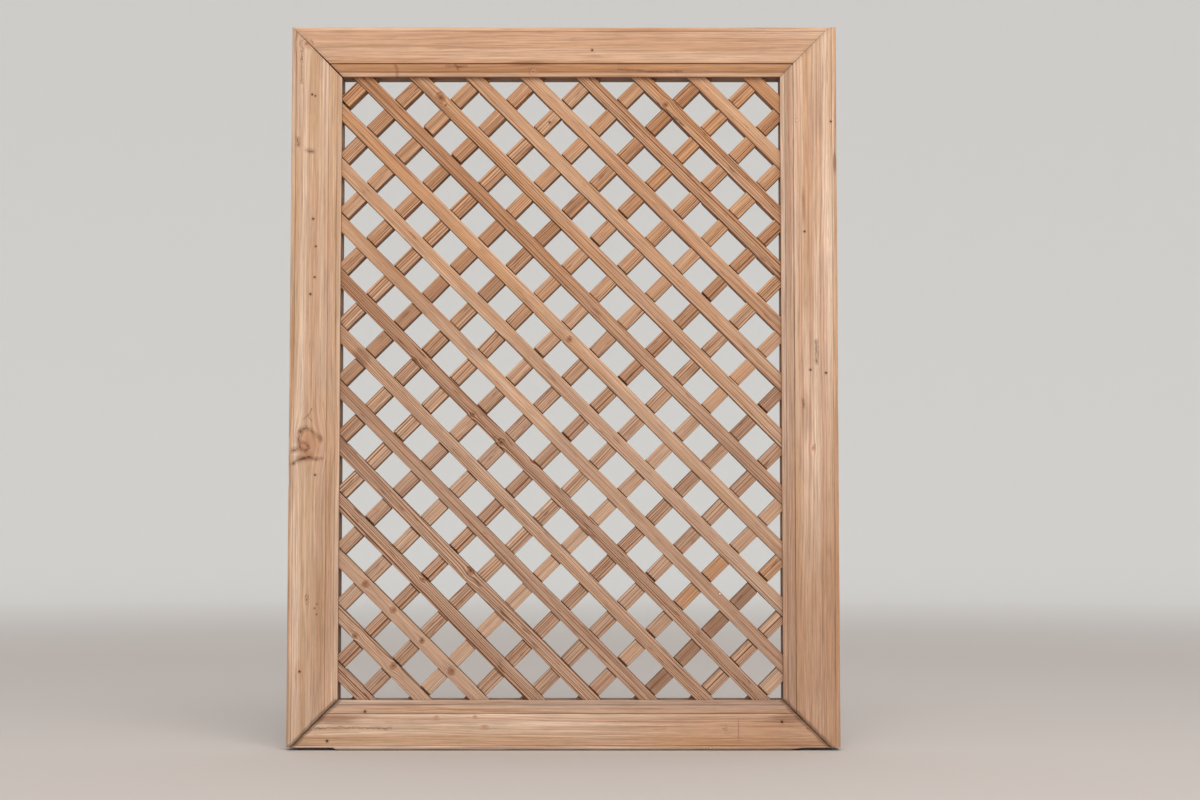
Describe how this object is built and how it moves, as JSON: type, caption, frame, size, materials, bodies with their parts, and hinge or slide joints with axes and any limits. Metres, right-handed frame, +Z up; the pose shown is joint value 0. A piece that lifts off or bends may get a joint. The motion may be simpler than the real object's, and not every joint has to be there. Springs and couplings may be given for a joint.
{
  "type": "lattice window panel",
  "caption": "Rectangular wooden window panel: a mitred frame with a moulded front around a diagonal lattice of halved slats, for screening an opening or hanging on a wall.",
  "frame": {"origin": "middle of the bottom edge, half-way through the thickness", "axes": "+Z up, +X to the right as seen from the front, the moulded front facing -Y"},
  "size_m": [0.6956, 0.038, 0.918],
  "materials": {
    "frame_wood": "bare, worn",
    "slat_wood": "bare, worn"
  },
  "bodies": {
    "root": {"left_stile": "frame_wood", "right_stile": "frame_wood", "top_rail": "frame_wood", "bottom_rail": "frame_wood", "falling_slat_01": "slat_wood", "falling_slat_02": "slat_wood", "falling_slat_03": "slat_wood", "falling_slat_04": "slat_wood", "falling_slat_05": "slat_wood", "falling_slat_06": "slat_wood", "falling_slat_07": "slat_wood", "falling_slat_08": "slat_wood", "falling_slat_09": "slat_wood", "falling_slat_10": "slat_wood", "falling_slat_11": "slat_wood", "falling_slat_12": "slat_wood", "falling_slat_13": "slat_wood", "falling_slat_14": "slat_wood", "falling_slat_15": "slat_wood", "falling_slat_16": "slat_wood", "falling_slat_17": "slat_wood", "falling_slat_18": "slat_wood", "falling_slat_19": "slat_wood", "rising_slat_01": "slat_wood", "rising_slat_02": "slat_wood", "rising_slat_03": "slat_wood", "rising_slat_04": "slat_wood", "rising_slat_05": "slat_wood", "rising_slat_06": "slat_wood", "rising_slat_07": "slat_wood", "rising_slat_08": "slat_wood", "rising_slat_09": "slat_wood", "rising_slat_10": "slat_wood", "rising_slat_11": "slat_wood", "rising_slat_12": "slat_wood", "rising_slat_13": "slat_wood", "rising_slat_14": "slat_wood", "rising_slat_15": "slat_wood", "rising_slat_16": "slat_wood", "rising_slat_17": "slat_wood", "rising_slat_18": "slat_wood", "rising_slat_19": "slat_wood"}
  },
  "joints": []
}
